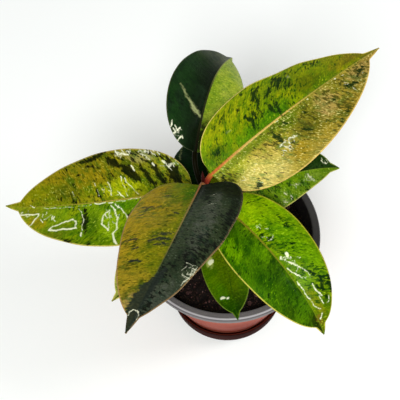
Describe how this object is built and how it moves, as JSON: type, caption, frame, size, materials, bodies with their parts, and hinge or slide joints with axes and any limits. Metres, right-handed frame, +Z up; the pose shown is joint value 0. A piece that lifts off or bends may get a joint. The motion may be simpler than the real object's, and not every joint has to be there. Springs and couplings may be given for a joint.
{
  "type": "potted rubber plant",
  "caption": "Young variegated rubber plant on one leaning stem, with broad glossy leaves spread over a tapering pot with a grey lip, set in a saucer.",
  "frame": {"origin": "centre of the saucer's flat underside", "axes": "+Z up along the pot's axis, -Y towards the viewer of the picture and +X to the viewer's right"},
  "size_m": [0.2983, 0.2944, 0.2989],
  "materials": {
    "saucer": "satin, dark red-brown",
    "pot": "satin, terracotta colour",
    "pot_liner": "satin grey",
    "soil": "damp, crumbly",
    "stem": "smooth green-brown bark",
    "bud_sheath": "waxy red",
    "leaf_top_front": "glossy, half gold and half charcoal green",
    "leaf_right": "glossy, half lime and half cream gold",
    "leaf_left": "glossy, olive and bright green with dark bars",
    "leaf_front_right": "glossy lime green with fine flecks",
    "leaf_back": "glossy, half black-green and half pale green",
    "leaf_low_left": "glossy green",
    "leaf_low_right": "glossy mottled green",
    "leaf_low_back": "glossy dark green",
    "leaf_low_front": "glossy plain green"
  },
  "bodies": {
    "root": {"saucer": "saucer", "pot": "pot", "pot_liner": "pot_liner", "soil": "soil", "stem": "stem", "bud_sheath": "bud_sheath", "leaf_top_front": "leaf_top_front", "leaf_right": "leaf_right", "leaf_left": "leaf_left", "leaf_front_right": "leaf_front_right", "leaf_back": "leaf_back", "leaf_low_left": "leaf_low_left", "leaf_low_right": "leaf_low_right", "leaf_low_back": "leaf_low_back", "leaf_low_front": "leaf_low_front"}
  },
  "joints": []
}
